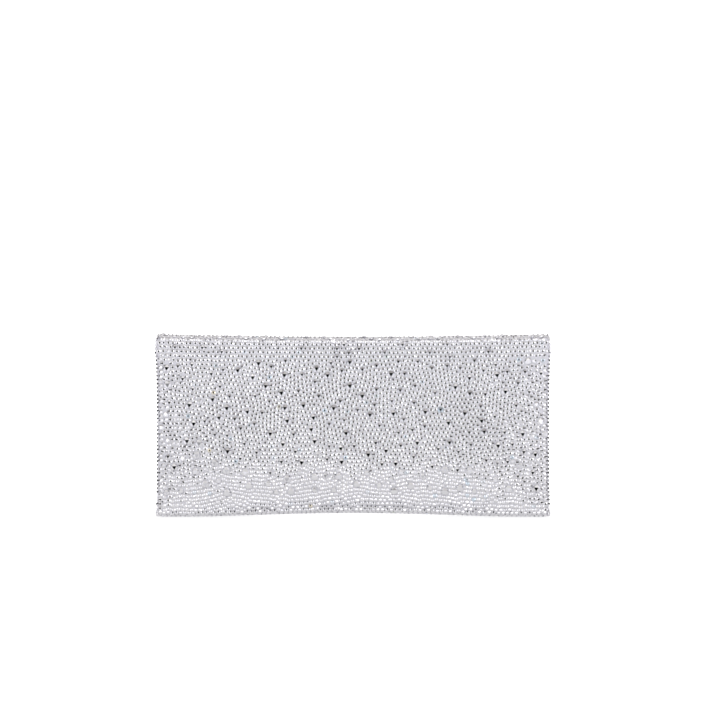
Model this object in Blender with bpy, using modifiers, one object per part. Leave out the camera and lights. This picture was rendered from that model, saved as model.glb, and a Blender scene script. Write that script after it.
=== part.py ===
"""An evening clutch: one crystal-covered wrap folds from the front, under the base, up the back
and over the top into a flap, with accordion gussets at the sides and a magnetic snap.

Frame: metres, +Z up, origin on the ground under the middle of the closed purse.
X runs along the purse, -Y is the plain back face and +Y is the side that the flap closes over.
"""

import math

import bmesh
import bpy
from mathutils import Matrix, Vector

# ---- Driving dimensions -------------------------------------------------------------------
WIDTH = 0.265  # across the base corners and the top fold
HEIGHT = 0.124  # ground to the top of the fold at its ends
BASE_HALF_DEPTH = 0.009  # half of the base, front to back
BASE_CORNER_R = 0.0045  # bend from the base into the back and the front
FOLD_R = 0.007  # outside of the half-round top fold
MOUTH_DROP = 0.017  # top edge of the front wall, below the top of the fold
MOUTH_Y = 0.0038  # how far the front wall's outside stands forward at its top edge
FLAP_EDGE_Z = 0.038  # lower edge of the closed flap
FLAP_CORNER_R = 0.014
FLAP_TAPER = 0.0035  # each side of the flap draws in by this much at its lower edge

# ---- Softness: how the stuffed shape leaves the straight one -------------------------------
BACK_PUFF = 0.0055  # how far the middle of the back bellies out
BACK_DROOP = 0.62  # under 1, the back is fullest below half height
FRONT_PUFF = 0.0020
WAIST = 0.0019  # each side draws in by this much at half height
BASE_ARCH = 0.0025  # the middle of the base lifts off the ground
TOP_SAG = 0.0018  # the middle of the top fold sinks
FLAT_FOOT = 0.85  # beyond this share of the half width, the base lies flat

# ---- Layers, from the outside in ------------------------------------------------------------
GAP = 0.0003  # clearance between pieces that touch
CRYSTAL_T = 0.0010
FABRIC_T = 0.0006
BOARD_T = 0.0008
LINING_T = 0.0004
FABRIC_D = CRYSTAL_T + GAP  # depth of each layer's outer face under the crystals' tops
BOARD_D = FABRIC_D + FABRIC_T + GAP
LINING_D = BOARD_D + BOARD_T + GAP
WALL_T = LINING_D + LINING_T
POCKET_D = WALL_T + GAP
POCKET_T = 0.0004

# ---- Edges -----------------------------------------------------------------------------------
TRIM_R = 0.0010  # string of small stones along each side edge of the back
SHEET_INSET = 2 * TRIM_R + GAP  # the wall's layers stop beside the trim
BOARD_INSET = 0.0065
LINING_INSET = 0.0030
PIPING_R = 0.0016  # satin piping round the flap
MOUTH_BINDING_R = 0.0012
CRYSTAL_LAP = 0.0015  # the front's crystals stop this far under the flap's lower edge
CREASE_GAP = 0.0005  # slit in the wrap where it bends at a joint

# ---- Gussets, pockets -------------------------------------------------------------------------
GUSSET_T = 0.0004
GUSSET_FOLD = (0.0090, 0.0040)  # how deep the side fold goes in, at the base and at its top
GUSSET_DROP = 0.004  # top of the gussets, below the mouth
GUSSET_DIP = 0.0005  # their feet, below the middle of the base corners' bend
SLIP_POCKET_WIDTH = 0.110
SLIP_POCKET_DROP = 0.027  # its upper edge, below the mouth
POCKET_BINDING_R = 0.0006
CARD_POCKET_WIDTH = 0.096
CARD_POCKET_DROPS = (0.033, 0.047)  # upper edges of the rear and the front tier, below the mouth
POCKET_FOOT_Z = 0.018  # lower edge of every pocket

# ---- Magnetic snap ------------------------------------------------------------------------------
SNAP_FLAT = 0.009  # the walls are flat this far above and below the snap
SNAP_Z = FLAP_EDGE_Z + FLAP_CORNER_R + SNAP_FLAT
SNAP_SWELL = 0.018  # past the flat the flap comes back down over this distance
CUP_R = 0.0070
CUP_H = 0.0022
CUP_WALL = 0.0004
CUP_MOUTH_R = 0.0030
PLATE_T = 0.0004
MAGNET_CLEAR = 0.0002
STUD_R = 0.0065
STUD_T = 0.0005
POST_CLEAR = 0.0005  # post in the cup's mouth, all round
POST_L = 0.0014
SNAP_AIR = 0.0002  # between the closed cup and stud
WASHER_R = 0.0070
WASHER_HOLE_R = 0.0024
WASHER_T = 0.0005
BOARD_HOLE_R = WASHER_R + 0.0010
PRONG_T = 0.0004
PRONG_W = 0.0030
PRONG_X = 0.0042
PRONG_END = 0.0002  # the prongs stand this far out of the washer
SLOT_CLEAR = 0.0003
FLAP_REST_GAP = 0.0012  # flap lining to front fabric away from the snap
SNAP_GAP = GAP + CUP_H + SNAP_AIR + STUD_T + GAP  # the same at the snap

# ---- How finely the sheets are divided -------------------------------------------------------
COLUMNS = (-1.0, -FLAT_FOOT, -0.62, -0.32, 0.0, 0.32, 0.62, FLAT_FOOT, 1.0)
POCKET_COLUMNS = (-1.0, -0.5, 0.0, 0.5, 1.0)
ARC_STEP = math.radians(22.5)
RIM_SEGMENTS = 28

# ---- Heights and joints that follow from these -----------------------------------------------
FOLD_Z = HEIGHT - FOLD_R  # centre of the top fold
MOUTH_Z = HEIGHT - MOUTH_DROP
GUSSET_TOP_Z = MOUTH_Z - GUSSET_DROP
CRYSTAL_TOP_Z = FLAP_EDGE_Z - CRYSTAL_LAP
FRONT_TOP_Z = MOUTH_Z - 2 * MOUTH_BINDING_R - GAP
CREASE = FOLD_R * math.pi / 4  # the fold opens flat about two lines this far from its centre, in Y and Z
HINGES = {
    "spine_hinge": (0.0, -CREASE, FOLD_Z + CREASE - TOP_SAG / 2),
    "flap_hinge": (0.0, CREASE, FOLD_Z + CREASE - TOP_SAG / 2),
    "front_hinge": (0.0, BASE_HALF_DEPTH - 0.2 * BASE_CORNER_R, 0.2 * BASE_CORNER_R + BASE_ARCH / 4),
}

COLOURS = {
    "crystal": ((0.80, 0.80, 0.84, 1.0), 0.08, 0.0),
    "satin": ((0.62, 0.62, 0.68, 1.0), 0.45, 0.0),
    "lining": ((0.70, 0.70, 0.74, 1.0), 0.55, 0.0),
    "board": ((0.42, 0.33, 0.24, 1.0), 0.85, 0.0),
    "nickel": ((0.72, 0.72, 0.74, 1.0), 0.20, 1.0),
    "magnet": ((0.22, 0.22, 0.24, 1.0), 0.35, 1.0),
}


# ---- Small helpers ----------------------------------------------------------------------------
def mix(a, b, t):
    return a + (b - a) * t


def ramp(t):
    """A smooth step from 0 to 1."""
    t = min(max(t, 0.0), 1.0)
    return t * t * (3 - 2 * t)


def spread(low, high, count):
    return [mix(low, high, i / (count - 1)) for i in range(count)]


def arc(first, last):
    """Angles from first to last, in steps of about ARC_STEP."""
    steps = max(1, round(abs(last - first) / ARC_STEP))
    return spread(first, last, steps + 1)


def start_scene(name):
    """Clears the objects and makes one collection for the purse and one for its cutters."""
    for old in list(bpy.data.objects):
        bpy.data.objects.remove(old)
    made = []
    for title in (name, name + "_cutters"):
        collection = bpy.data.collections.new(title)
        bpy.context.scene.collection.children.link(collection)
        made.append(collection)
    return made


PURSE, CUTTERS = start_scene("crystal_clutch")


def material(kind):
    if kind in bpy.data.materials:
        return bpy.data.materials[kind]
    colour, roughness, metallic = COLOURS[kind]
    made = bpy.data.materials.new(kind)
    made.use_nodes = True
    shader = made.node_tree.nodes["Principled BSDF"]
    shader.inputs["Base Color"].default_value = colour
    shader.inputs["Roughness"].default_value = roughness
    shader.inputs["Metallic"].default_value = metallic
    return made


def add_part(name, data, kind):
    made = bpy.data.objects.new(name, data)
    data.materials.append(material(kind))
    PURSE.objects.link(made)
    return made


# ---- The soft shape -------------------------------------------------------------------------
def half_width(z):
    """Half the purse's width at a height: it draws in at the waist."""
    return WIDTH / 2 - WAIST * (1 - (2 * z / HEIGHT - 1) ** 2)


def settle(u, z):
    """The height once the base arches up and the top fold sags, at a share u of the half width."""
    arch = max(0.0, 1 - (u / FLAT_FOOT) ** 2) ** 2 * BASE_ARCH
    sag = max(0.0, 1 - u * u) * TOP_SAG
    return z + arch * (1 - z / HEIGHT) - sag * z / HEIGHT


def belly(u, z, droop=1.0):
    """0 round the edges of a wall and 1 at its fullest; a droop under 1 brings the fullest part lower."""
    share = min(max((z - BASE_CORNER_R) / (FOLD_Z - BASE_CORNER_R), 0.0), 1.0)
    return max(0.0, 1 - abs(u) ** 3) * max(0.0, math.sin(math.pi * share**droop)) ** 1.2


def back_y(u, z):
    """Outside of the back wall's crystals."""
    share = (z - BASE_CORNER_R) / (FOLD_Z - BASE_CORNER_R)
    return -mix(BASE_HALF_DEPTH, FOLD_R, share) - BACK_PUFF * belly(u, z, BACK_DROOP)


def front_y(u, z):
    """Outside of the front wall's crystals, carried on upwards as if they went to the mouth."""
    share = (z - BASE_CORNER_R) / (MOUTH_Z - BASE_CORNER_R)
    return mix(BASE_HALF_DEPTH, MOUTH_Y, share) + FRONT_PUFF * belly(u, z)


def flap_y(u, z):
    """Outside of the flap's crystals: it rides over the front wall and meets the fold at its top."""
    swell = 1 - ramp((abs(z - SNAP_Z) - SNAP_FLAT) / SNAP_SWELL)
    gap = mix(FLAP_REST_GAP, SNAP_GAP, swell)
    over_front = front_y(u, min(z, MOUTH_Z)) - FABRIC_D + gap + WALL_T
    return mix(over_front, FOLD_R, ramp((z - MOUTH_Z) / (FOLD_Z - MOUTH_Z)))


def flap_half_width(z, inset):
    """Half the flap's width at a height, inset from its edge: it tapers to rounded lower corners."""
    taper = FLAP_TAPER * ramp((FOLD_Z - z) / (FOLD_Z - FLAP_EDGE_Z))
    radius = FLAP_CORNER_R - inset
    up = min(max((z - FLAP_EDGE_Z - inset) / radius, 0.0), 1.0)
    return WIDTH / 2 - taper - inset - radius * (1 - math.sqrt(1 - (1 - up) ** 2))


# ---- Profiles: (y, z) points that run from the mouth down the front, under the base, up the back,
# ---- over the top and down the flap, so that every sheet's outside faces the same way ------------
def bend(centre_y, centre_z, radius, first, last):
    return [(centre_y + radius * math.cos(a), centre_z + radius * math.sin(a)) for a in arc(first, last)]


def back_heights():
    return [2 * BASE_CORNER_R] + spread(BASE_CORNER_R, FOLD_Z, 9)[1:-1] + [FOLD_Z - BASE_CORNER_R]


def front_heights():
    low = spread(BASE_CORNER_R, CRYSTAL_TOP_Z, 3)
    return spread(FRONT_TOP_Z, SNAP_Z + SNAP_FLAT, 3) + [SNAP_Z - SNAP_FLAT] + low[:0:-1]


def flap_heights(inset):
    radius = FLAP_CORNER_R - inset
    corner = [FLAP_EDGE_Z + inset + radius * (1 - math.cos(a)) for a in spread(math.pi / 2, 0, 5)]
    return spread(FOLD_Z, SNAP_Z + SNAP_FLAT, 5)[1:] + corner


def back_profile(u, depth):
    """Front base corner from its crease, base, back, and the fold's rear up to its crease."""
    middle = BASE_HALF_DEPTH - BASE_CORNER_R
    radius = BASE_CORNER_R - depth
    slit = CREASE_GAP / 2 / radius
    points = bend(middle, BASE_CORNER_R, radius, -math.pi / 4 - slit, -math.pi / 2)
    points += bend(-middle, BASE_CORNER_R, radius, -math.pi / 2, -math.pi)
    points += [(back_y(u, z) + depth, z) for z in back_heights()]
    slit = CREASE_GAP / 2 / FOLD_R
    return points + bend(0.0, FOLD_Z, FOLD_R - depth, math.pi, math.pi * 0.75 + slit)


def front_profile(u, depth):
    """Front wall from its top edge down to the crease in the base corner."""
    middle = BASE_HALF_DEPTH - BASE_CORNER_R
    radius = BASE_CORNER_R - depth
    slit = CREASE_GAP / 2 / radius
    wall = [(front_y(u, z) - depth, z) for z in front_heights()]
    return wall + bend(middle, BASE_CORNER_R, radius, 0.0, -math.pi / 4 + slit)


def front_crystal_profile(u, depth):
    """The same, only up to the flap's lower edge."""
    return [point for point in front_profile(u, depth) if point[1] < CRYSTAL_TOP_Z + 1e-6]


def spine_profile(u, depth):
    """The middle of the top fold between its two creases."""
    slit = CREASE_GAP / 2 / FOLD_R
    return bend(0.0, FOLD_Z, FOLD_R - depth, math.pi * 0.75 - slit, math.pi * 0.25 + slit)


def flap_profile(inset):
    """The flap from the fold's front crease down to its lower edge, for one inset from that edge."""
    slit = CREASE_GAP / 2 / FOLD_R

    def profile(u, depth):
        wall = [(flap_y(u, z) - depth, z) for z in flap_heights(inset)]
        return bend(0.0, FOLD_Z, FOLD_R - depth, math.pi * 0.25 - slit, 0.0) + wall

    return profile


# ---- Sheets and cords -----------------------------------------------------------------------------
def sheet(name, profile, depth, thickness, width_at, kind, columns=COLUMNS):
    """A wall layer: a grid laid along the profile, then given its thickness inwards."""
    heights = [z for y, z in profile(0.0, depth)]
    bm = bmesh.new()
    bmesh.ops.create_grid(bm, x_segments=len(columns) - 1, y_segments=len(heights) - 1, size=1.0)
    for v in bm.verts:
        row = round((v.co.y + 1) / 2 * (len(heights) - 1))
        column = round((v.co.x + 1) / 2 * (len(columns) - 1))
        x = columns[column] * width_at(heights[row])
        u = x / half_width(heights[row])
        v.co = Vector((x, profile(u, depth)[row][0], settle(u, heights[row])))
    data = bpy.data.meshes.new(name)
    bm.to_mesh(data)
    bm.free()
    made = add_part(name, data, kind)
    thicken(made, thickness, -1.0)
    return made


def thicken(target, thickness, offset):
    target.data.shade_smooth()
    target.data.set_sharp_from_angle(angle=math.radians(40))
    wall = target.modifiers.new("thickness", "SOLIDIFY")
    wall.thickness = thickness
    wall.offset = offset
    wall.use_even_offset = True


def inset_width(inset):
    return lambda z: half_width(z) - inset


def cord(name, points, radius, kind):
    """A round cord along a line, with closed ends."""
    curve = bpy.data.curves.new(name, "CURVE")
    curve.dimensions = "3D"
    curve.bevel_depth = radius
    curve.bevel_resolution = 1
    curve.use_fill_caps = True
    line = curve.splines.new("POLY")
    line.points.add(len(points) - 1)
    for point, place in zip(line.points, points):
        point.co = (*place, 1.0)
    line.use_smooth = True
    return add_part(name, curve, kind)


# ---- The wrap: back and base, top fold, front, flap -----------------------------------------------
def build_back():
    sheet("back_crystals", back_profile, 0.0, CRYSTAL_T, inset_width(SHEET_INSET), "crystal")
    sheet("back_panel", back_profile, FABRIC_D, FABRIC_T, inset_width(SHEET_INSET), "satin")
    sheet("back_lining", back_profile, LINING_D, LINING_T, inset_width(LINING_INSET), "lining")
    heights = back_heights()
    middle = BASE_HALF_DEPTH - BASE_CORNER_R

    def up_the_back(u, depth):
        return [(back_y(u, z) + depth, z) for z in heights]

    def along_the_base(u, depth):
        return [(middle, depth), (-middle, depth)]

    sheet("back_board", up_the_back, BOARD_D, BOARD_T, inset_width(BOARD_INSET), "board")
    sheet("base_board", along_the_base, BOARD_D, BOARD_T, inset_width(BOARD_INSET), "board")


def build_spine():
    sheet("spine_crystals", spine_profile, 0.0, CRYSTAL_T, inset_width(SHEET_INSET), "crystal")
    sheet("spine_panel", spine_profile, FABRIC_D, FABRIC_T, inset_width(SHEET_INSET), "satin")
    sheet("spine_lining", spine_profile, LINING_D, LINING_T, inset_width(LINING_INSET), "lining")


def build_front():
    """The front wall. Its crystals show only below the flap. Gives back the pieces the snap pierces."""
    heights = front_heights()[:-1] + [2 * BASE_CORNER_R]

    def up_the_front(u, depth):
        return [(front_y(u, z) - depth, z) for z in heights]

    sheet("front_crystals", front_crystal_profile, 0.0, CRYSTAL_T, inset_width(SHEET_INSET), "crystal")
    panel = sheet("front_panel", front_profile, FABRIC_D, FABRIC_T, inset_width(SHEET_INSET), "satin")
    board = sheet("front_board", up_the_front, BOARD_D, BOARD_T, inset_width(BOARD_INSET), "board")
    sheet("front_lining", front_profile, LINING_D, LINING_T, inset_width(LINING_INSET), "lining")
    z = MOUTH_Z - MOUTH_BINDING_R
    reach = half_width(z) - LINING_INSET
    line = []
    for share in spread(-1, 1, 17):
        u = share * reach / half_width(z)
        line.append((share * reach, front_y(u, z) - FABRIC_D - MOUTH_BINDING_R, settle(u, z)))
    cord("mouth_binding", line, MOUTH_BINDING_R, "satin")
    return panel, board


def build_flap():
    """The flap. Gives back the pieces the snap pierces."""
    inset = 2 * PIPING_R + GAP

    def layer(name, depth, thickness, kind):
        width = lambda z: flap_half_width(z, inset)
        return sheet(name, flap_profile(inset), depth, thickness, width, kind)

    layer("flap_crystals", 0.0, CRYSTAL_T, "crystal")
    layer("flap_panel", FABRIC_D, FABRIC_T, "satin")
    lining = layer("flap_lining", LINING_D, LINING_T, "lining")
    heights = flap_heights(BOARD_INSET)

    def down_the_flap(u, depth):
        return [(flap_y(u, z) - depth, z) for z in heights]

    width = lambda z: flap_half_width(z, BOARD_INSET)
    board = sheet("flap_board", down_the_flap, BOARD_D, BOARD_T, width, "board")
    cord("flap_piping", flap_outline(PIPING_R, WALL_T / 2), PIPING_R, "satin")
    return lining, board


def flap_outline(inset, depth):
    """A line round the flap's three free edges, inset from them, that starts and ends in the fold."""
    radius = FOLD_R - depth
    fold = [(WIDTH / 2 - inset, y, z) for y, z in bend(0.0, FOLD_Z, radius, math.radians(40), 0.0)]
    side = []
    for z in flap_heights(inset):
        x = flap_half_width(z, inset)
        side.append((x, flap_y(x / half_width(z), z) - depth, z))
    low = side[-1][2]
    for x in spread(side[-1][0], 0.0, 6)[1:]:
        side.append((x, flap_y(x / half_width(low), low) - depth, low))
    half = fold + side
    whole = half + [(-x, y, z) for x, y, z in half[-2::-1]]
    return [(x, y, settle(x / half_width(z), z)) for x, y, z in whole]


# ---- Sides ---------------------------------------------------------------------------------------
def build_side_trims():
    """A string of small stones down each side edge of the back and of the front."""
    depth = FABRIC_D + TRIM_R
    for side, end in ((-1, "left"), (1, "right")):
        rear = []
        for z in [BASE_CORNER_R] + back_heights() + [FOLD_Z - TRIM_R]:
            x = side * (half_width(z) - TRIM_R)
            rear.append((x, back_y(1.0, z) + depth, settle(1.0, z)))
        front = []
        for z in front_heights() + [BASE_CORNER_R]:
            x = side * (half_width(z) - TRIM_R)
            front.append((x, front_y(1.0, z) - depth, settle(1.0, z)))
        cord("back_trim_" + end, rear, TRIM_R, "crystal")
        cord("front_trim_" + end, front, TRIM_R, "crystal")


def build_gussets():
    """Sides of the purse: a sheet from back to front with a soft fold that points inwards."""
    foot = max(WALL_T + GAP, BASE_CORNER_R - GUSSET_DIP)
    rows, columns = 6, 8
    for side, end in ((-1, "left"), (1, "right")):
        bm = bmesh.new()
        bmesh.ops.create_grid(bm, x_segments=columns, y_segments=rows, size=1.0)
        for v in bm.verts:
            turn = (v.co.x + 1) / 2 * math.pi
            up = (v.co.y + 1) / 2
            z = mix(foot, GUSSET_TOP_Z, up)
            outer = half_width(z) - LINING_INSET - GAP
            u = outer / half_width(z)
            rear = back_y(u, z) + WALL_T + GAP + GUSSET_T
            front = front_y(u, z) - WALL_T - GAP - GUSSET_T
            x = outer - mix(GUSSET_FOLD[0], GUSSET_FOLD[1], up) * math.sin(turn)
            y = mix(rear, front, (1 - math.cos(turn)) / 2)
            v.co = Vector((side * x, y, settle(u, z)))
        data = bpy.data.meshes.new("gusset_" + end)
        bm.to_mesh(data)
        bm.free()
        thicken(add_part("gusset_" + end, data, "satin"), GUSSET_T, 0.0)


# ---- Pockets ---------------------------------------------------------------------------------------
def build_pockets():
    """A slip pocket with a bound edge on the back lining, and two tiers for cards on the front's."""
    width, high = SLIP_POCKET_WIDTH, MOUTH_Z - SLIP_POCKET_DROP
    heights = spread(POCKET_FOOT_Z, high, 5)

    def on_the_back(u, depth):
        return [(back_y(u, z) + depth, z) for z in heights]

    sheet("slip_pocket", on_the_back, POCKET_D, POCKET_T, lambda z: width / 2, "lining", POCKET_COLUMNS)
    z = high + POCKET_BINDING_R + GAP
    line = []
    for share in POCKET_COLUMNS:
        u = share * width / 2 / half_width(z)
        line.append((share * width / 2, back_y(u, z) + POCKET_D + POCKET_BINDING_R, settle(u, z)))
    cord("slip_pocket_binding", line, POCKET_BINDING_R, "satin")
    for tier, name in enumerate(("card_pocket_rear", "card_pocket_front")):
        card_heights = spread(MOUTH_Z - CARD_POCKET_DROPS[tier], POCKET_FOOT_Z, 4)

        def on_the_front(u, depth):
            return [(front_y(u, z) - depth, z) for z in card_heights]

        depth = POCKET_D + tier * (POCKET_T + GAP)
        half = CARD_POCKET_WIDTH / 2
        sheet(name, on_the_front, depth, POCKET_T, lambda z: half, "lining", POCKET_COLUMNS)


# ---- Magnetic snap --------------------------------------------------------------------------------------
def snap_frame():
    """The middle of the snap on the front fabric, and the directions out of it and up along it."""
    low, high = SNAP_Z - SNAP_FLAT, SNAP_Z + SNAP_FLAT
    foot = Vector((0.0, front_y(0.0, low) - FABRIC_D, settle(0.0, low)))
    head = Vector((0.0, front_y(0.0, high) - FABRIC_D, settle(0.0, high)))
    up = (head - foot).normalized()
    return (foot + head) / 2, up.cross(Vector((1.0, 0.0, 0.0))), up


SNAP_CENTRE, SNAP_OUT, SNAP_UP = snap_frame()


def at_snap(x, out, up):
    return SNAP_CENTRE + Vector((x, 0.0, 0.0)) + SNAP_OUT * out + SNAP_UP * up


def turned(name, profile, kind):
    """A round piece on the snap's axis, from a closed outline of (radius, distance out) points."""
    bm = bmesh.new()
    points = [bm.verts.new(at_snap(radius, out, 0.0)) for radius, out in profile]
    edges = [bm.edges.new((a, b)) for a, b in zip(points, points[1:] + points[:1])]
    turn = {"axis": SNAP_OUT, "cent": SNAP_CENTRE, "angle": 2 * math.pi, "steps": RIM_SEGMENTS}
    bmesh.ops.spin(bm, geom=points + edges, use_merge=True, **turn)
    bmesh.ops.remove_doubles(bm, verts=bm.verts, dist=1e-6)
    bmesh.ops.recalc_face_normals(bm, faces=bm.faces)
    data = bpy.data.meshes.new(name)
    bm.to_mesh(data)
    bm.free()
    data.shade_smooth()
    data.set_sharp_from_angle(angle=math.radians(40))
    return add_part(name, data, kind)


def disc(name, radius, low, high):
    """A round cutter on the snap's axis."""
    bm = bmesh.new()
    size = {"segments": RIM_SEGMENTS, "radius1": radius, "radius2": radius, "depth": 1.0}
    bmesh.ops.create_cone(bm, cap_ends=True, **size)
    return helper(name, bm, lambda p: at_snap(p.x, mix(low, high, p.z + 0.5), p.y))


def tongue(name, side, low, high, grow):
    """One prong, or with grow the slot it passes through."""
    bm = bmesh.new()
    bmesh.ops.create_cube(bm, size=1.0)
    thick, wide = PRONG_T + 2 * grow, PRONG_W + 2 * grow

    def place(p):
        return at_snap(side * PRONG_X + p.x * thick, mix(low, high, p.z + 0.5), p.y * wide)

    return helper(name, bm, place)


def helper(name, bm, place):
    for v in bm.verts:
        v.co = place(v.co)
    bmesh.ops.recalc_face_normals(bm, faces=bm.faces)
    data = bpy.data.meshes.new(name)
    bm.to_mesh(data)
    bm.free()
    made = bpy.data.objects.new(name, data)
    made.hide_render = True
    made.display_type = "WIRE"
    CUTTERS.objects.link(made)
    return made


def combine(target, other, operation):
    change = target.modifiers.new(other.name, "BOOLEAN")
    change.operation = operation
    change.object = other
    change.solver = "EXACT"


def clinch(stem, plate, pierced, washer, low, high, join_at):
    """Two prongs on a plate, and the slots for them in the cloth and in the washer behind it."""
    for side, end in ((-1, "left"), (1, "right")):
        reach = (min(low, join_at), max(high, join_at))
        combine(plate, tongue(f"{stem}_prong_{end}", side, *reach, 0.0), "UNION")
        slot = tongue(f"{stem}_slot_{end}", side, low - GAP, high + GAP, SLOT_CLEAR)
        combine(pierced, slot, "DIFFERENCE")
        combine(washer, slot, "DIFFERENCE")


def build_snap(front_panel, front_board, flap_lining, flap_board):
    """Cup with a ring magnet on the front wall, stud on the flap, each clinched to a washer behind."""
    seat = GAP
    lip = seat + CUP_H
    inner_r = CUP_R - CUP_WALL
    outline = [(CUP_MOUTH_R, lip - CUP_WALL), (CUP_MOUTH_R, lip), (CUP_R, lip), (CUP_R, seat)]
    turned("snap_cup", outline + [(inner_r, seat), (inner_r, lip - CUP_WALL)], "nickel")
    plate_r = inner_r - MAGNET_CLEAR
    plate = turned("snap_plate", [(0, seat), (plate_r, seat), (plate_r, seat + PLATE_T), (0, seat + PLATE_T)], "nickel")
    low, high = seat + PLATE_T + GAP, lip - CUP_WALL - GAP
    hole_r = CUP_MOUTH_R + MAGNET_CLEAR
    turned("snap_magnet", [(hole_r, low), (plate_r, low), (plate_r, high), (hole_r, high)], "magnet")
    back_of_cloth = -FABRIC_T - GAP
    ring = [(WASHER_HOLE_R, -WASHER_T), (WASHER_R, -WASHER_T), (WASHER_R, 0.0), (WASHER_HOLE_R, 0.0)]
    washer = turned("snap_plate_washer", [(r, back_of_cloth + d) for r, d in ring], "nickel")
    end = back_of_cloth - WASHER_T - PRONG_END
    clinch("plate", plate, front_panel, washer, end, seat - GAP / 2, seat + PLATE_T / 2)
    combine(front_board, disc("front_board_hole", BOARD_HOLE_R, -LINING_D, FABRIC_D), "DIFFERENCE")

    lining = SNAP_GAP * SNAP_OUT.y
    top = lining - GAP
    face = top - STUD_T
    post_r = CUP_MOUTH_R - POST_CLEAR
    outline = [(0, top), (STUD_R, top), (STUD_R, face), (post_r, face), (post_r, face - POST_L), (0, face - POST_L)]
    stud = turned("snap_stud", outline, "nickel")
    back_of_cloth = lining + LINING_T + GAP
    washer = turned("snap_stud_washer", [(r, back_of_cloth - d) for r, d in ring], "nickel")
    end = back_of_cloth + WASHER_T + PRONG_END
    clinch("stud", stud, flap_lining, washer, lining - GAP / 2, end, top - STUD_T / 2)
    hole = disc("flap_board_hole", BOARD_HOLE_R, back_of_cloth - GAP, back_of_cloth + BOARD_D)
    combine(flap_board, hole, "DIFFERENCE")


# ---- Joints --------------------------------------------------------------------------------------
def hang_on_hinges():
    """Parents each moving group to an empty on its crease: the flap's hinge rides on the spine's."""
    empties = {}
    for name, place in HINGES.items():
        empty = bpy.data.objects.new(name, None)
        empty.location = place
        empty.empty_display_size = 0.01
        PURSE.objects.link(empty)
        empties[name] = empty
    groups = {
        "spine_hinge": ("spine_",),
        "flap_hinge": ("flap_crystals", "flap_panel", "flap_board", "flap_lining", "flap_piping", "snap_stud"),
        "front_hinge": ("front_", "mouth_", "card_", "snap_cup", "snap_magnet", "snap_plate"),
    }
    for hinge, stems in groups.items():
        for part in PURSE.objects:
            if part.name.startswith(stems) and part.type != "EMPTY":
                hang(part, empties[hinge])
    hang(empties["flap_hinge"], empties["spine_hinge"])


def hang(part, parent):
    part.parent = parent
    part.matrix_parent_inverse = Matrix.Translation(-parent.location)


def main():
    build_back()
    build_spine()
    front_panel, front_board = build_front()
    flap_lining, flap_board = build_flap()
    build_side_trims()
    build_gussets()
    build_pockets()
    build_snap(front_panel, front_board, flap_lining, flap_board)
    hang_on_hinges()


main()
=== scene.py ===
"""The looks of a fold-over evening clutch covered in foiled crystal stones.

Every length is in metres, in the frame of the CAD part: X along the purse, -Y the plain back, +Z up.
The walls are worked out again here as smooth surfaces, and thousands of cut stones are set on them.
"""

import math

import bpy
import numpy as np
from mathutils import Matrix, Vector


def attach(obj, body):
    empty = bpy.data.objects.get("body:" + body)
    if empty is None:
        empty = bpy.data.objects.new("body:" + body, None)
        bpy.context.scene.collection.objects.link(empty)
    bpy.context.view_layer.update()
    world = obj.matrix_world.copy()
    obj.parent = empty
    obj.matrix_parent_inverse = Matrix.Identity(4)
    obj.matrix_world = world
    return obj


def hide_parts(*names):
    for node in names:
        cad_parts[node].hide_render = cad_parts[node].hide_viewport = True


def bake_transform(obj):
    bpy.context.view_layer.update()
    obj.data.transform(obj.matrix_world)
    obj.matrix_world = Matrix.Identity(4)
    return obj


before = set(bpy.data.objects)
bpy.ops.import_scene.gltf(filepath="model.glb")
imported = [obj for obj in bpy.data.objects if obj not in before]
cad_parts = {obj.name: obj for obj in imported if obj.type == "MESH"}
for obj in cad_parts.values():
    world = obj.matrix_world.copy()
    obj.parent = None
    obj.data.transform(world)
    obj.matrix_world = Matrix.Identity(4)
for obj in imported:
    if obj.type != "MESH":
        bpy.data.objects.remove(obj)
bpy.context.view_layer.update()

# ---- The purse's sizes ------------------------------------------------------------------------
WIDTH = 0.265
HALF = WIDTH / 2
HEIGHT = 0.124
BASE_HALF_DEPTH = 0.009
BASE_CORNER_R = 0.0045
FOLD_R = 0.007
FOLD_Z = HEIGHT - FOLD_R
FOLD_SQUARE = 2.35
MOUTH_Z = 0.107
MOUTH_Y = 0.0038
FLAP_EDGE_Z = 0.038
FLAP_CORNER_R = 0.014
FLAP_TAPER = 0.0035
BACK_PUFF = 0.0055
BACK_DROOP = 0.62
FRONT_PUFF = 0.0020
WAIST = 0.0010
BASE_ARCH = 0.0025
TOP_SAG = 0.0018
FLAT_FOOT = 0.85
EAR = 0.0007  # the wrap stands out sideways this far, just under the fold
EAR_Z = 0.1125
EAR_H = 0.0055
CREST_DRAW = 0.0009  # each end of the fold's crest draws in by this much
EDGE_ROUND = 0.0011  # a wall's side edges turn away this far
EDGE_BAND = 0.0055  # over this width
FABRIC_D = 0.0013  # the satin's face, below the tops of the small stones
WALL_T = 0.0037
LINING_D = 0.0033
FLAP_REST_GAP = 0.0012
SNAP_GAP = 0.0035
SNAP_Z = FLAP_EDGE_Z + FLAP_CORNER_R + 0.009
SNAP_FLAT = 0.009
SNAP_SWELL = 0.018
PIPING_R = 0.0016
MOUTH_BINDING_R = 0.0012
CRYSTAL_TOP_Z = FLAP_EDGE_Z - 0.0015
FRONT_TOP_Z = MOUTH_Z - 2 * MOUTH_BINDING_R - 0.0003
LINING_INSET = 0.0030

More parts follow.
